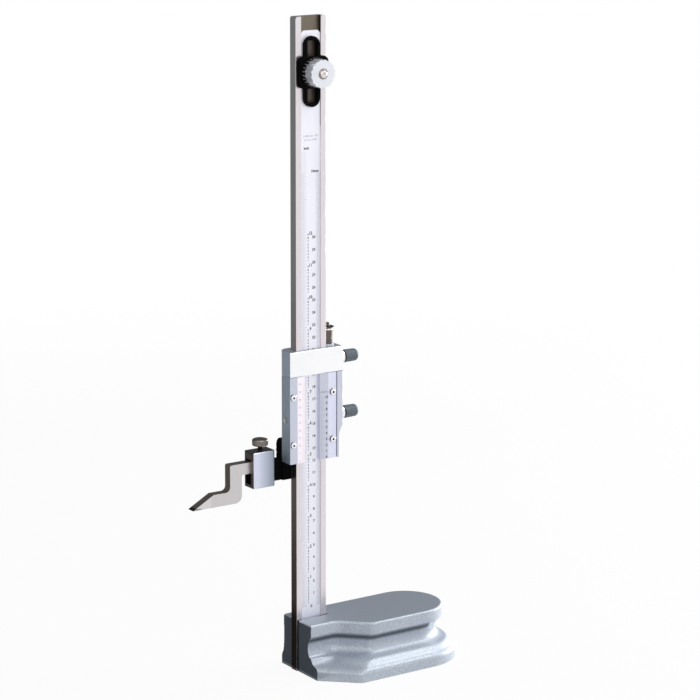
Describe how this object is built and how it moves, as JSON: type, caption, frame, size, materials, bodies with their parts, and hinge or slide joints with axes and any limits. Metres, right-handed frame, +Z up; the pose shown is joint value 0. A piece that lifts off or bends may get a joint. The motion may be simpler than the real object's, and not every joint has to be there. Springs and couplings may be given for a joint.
{
  "type": "vernier height gauge",
  "caption": "Bench height gauge: cast base, grooved column with adjustable scale, vernier slider with fine feed and clamps, and a scriber held in a clamp box.",
  "frame": {"origin": "on the column's centreline, in the plane of the lapped underside that rests on the surface plate", "axes": "+Z up the column; +X along the base towards its rounded end, so the scriber points to -X; the graduated faces look to -Y"},
  "size_m": [0.2263, 0.0764, 0.525],
  "materials": {
    "base_paint": "silver-grey hammered enamel over cast iron, satin",
    "column_steel": "fine ground steel, grinding marks along the column",
    "scale_satin": "satin chrome with black filled graduations",
    "slider_satin": "satin chrome plate",
    "steel": "turned steel",
    "black_oxide": "black finish, semi-gloss",
    "knob_aluminium": "turned and polished aluminium",
    "grip_grey": "dark grey, fine textured",
    "black_rubber": "black ring, matt",
    "brass": "plain machined brass",
    "scriber_steel": "warm grey ground tool steel",
    "carbide": "dark ground carbide"
  },
  "bodies": {
    "stand": {"base_casting": "base_paint", "column": "column_steel", "column_screws": "black_oxide", "zero_housing": "black_oxide", "zero_housing_screws": "steel"},
    "scale": {"main_scale": "scale_satin", "rack_plate": "black_oxide", "rack_rivets": "black_oxide"},
    "zero_dial": {"zero_pinion": "steel", "zero_wheel": "black_oxide", "zero_knob": "knob_aluminium", "zero_washer": "steel", "zero_screw": "steel"},
    "carriage": {"feed_carriage": "slider_satin"},
    "feed": {"feed_screw": "steel", "feed_thimble": "steel", "feed_cap": "steel", "feed_cap_screw": "steel"},
    "upper_knob": {"upper_screw": "steel", "upper_disc": "knob_aluminium", "upper_ring": "black_rubber", "upper_grip": "grip_grey"},
    "upper_shoe_body": {"upper_shoe": "brass"},
    "slider": {"slider_frame": "slider_satin", "inch_vernier": "scale_satin", "metric_vernier": "scale_satin", "vernier_screws": "steel", "slider_gib": "brass", "gib_screw": "steel", "feed_nut": "brass", "jaw": "black_oxide", "jaw_screws": "black_oxide"},
    "lower_knob": {"lower_screw": "steel", "lower_disc": "knob_aluminium", "lower_ring": "black_rubber", "lower_grip": "grip_grey"},
    "lower_shoe_body": {"lower_shoe": "brass"},
    "scriber_clamp": {"clamp_box": "slider_satin"},
    "scriber_screw": {"clamp_screw": "steel"},
    "scriber_pad": {"clamp_pad": "brass"},
    "scriber_body": {"scriber": "scriber_steel", "scriber_tip": "carbide"}
  },
  "joints": [
    {"name": "carriage_slide", "type": "slide", "parent": "stand", "child": "carriage", "axis": [0, 0, 1], "range_m": [-0.124, 0.182]},
    {"name": "feed_turn", "type": "hinge", "parent": "carriage", "child": "feed", "pos_m": [0.021, 0.0043, 0.27], "axis": [0, 0, 1], "range_deg": [-217, 4322]},
    {"name": "slider_feed", "type": "slide", "parent": "carriage", "child": "slider", "axis": [0, 0, 1], "range_m": [-0.006, 0.0003]},
    {"name": "upper_clamp_turn", "type": "hinge", "parent": "carriage", "child": "upper_knob", "pos_m": [0.04, -0.0012, 0.25375], "axis": [1, 0, 0], "range_deg": [0, 206]},
    {"name": "upper_shoe_slide", "type": "slide", "parent": "carriage", "child": "upper_shoe_body", "axis": [1, 0, 0], "range_m": [0, 0.0004]},
    {"name": "lower_clamp_turn", "type": "hinge", "parent": "slider", "child": "lower_knob", "pos_m": [0.04, -0.0012, 0.2082], "axis": [1, 0, 0], "range_deg": [0, 206]},
    {"name": "lower_shoe_slide", "type": "slide", "parent": "slider", "child": "lower_shoe_body", "axis": [1, 0, 0], "range_m": [0, 0.0004]},
    {"name": "zero_turn", "type": "hinge", "parent": "stand", "child": "zero_dial", "pos_m": [0, -0.015, 0.4823], "axis": [0, 1, 0], "range_deg": [-129.5, 129.5]},
    {"name": "scale_slide", "type": "slide", "parent": "stand", "child": "scale", "axis": [0, 0, 1], "range_m": [-0.009, 0.009]},
    {"name": "clamp_box_slide", "type": "slide", "parent": "slider", "child": "scriber_clamp", "axis": [1, 0, 0], "range_m": [-0.004, 0.006]},
    {"name": "scriber_slide", "type": "slide", "parent": "slider", "child": "scriber_body", "axis": [1, 0, 0], "range_m": [-0.003, 0.003]},
    {"name": "scriber_screw_turn", "type": "hinge", "parent": "scriber_clamp", "child": "scriber_screw", "pos_m": [-0.0388, 0.01045, 0.19], "axis": [0, 0, 1], "range_deg": [0, 206]},
    {"name": "scriber_pad_slide", "type": "slide", "parent": "scriber_clamp", "child": "scriber_pad", "axis": [0, 0, 1], "range_m": [0, 0.0004]}
  ],
  "couplings": [
    {"joint": "feed_turn", "follows": "slider_feed", "rad_per_m": -12566},
    {"joint": "upper_clamp_turn", "follows": "upper_shoe_slide", "rad_per_m": 8976},
    {"joint": "lower_clamp_turn", "follows": "lower_shoe_slide", "rad_per_m": 8976},
    {"joint": "zero_turn", "follows": "scale_slide", "rad_per_m": 250},
    {"joint": "scriber_screw_turn", "follows": "scriber_pad_slide", "rad_per_m": 8976}
  ]
}
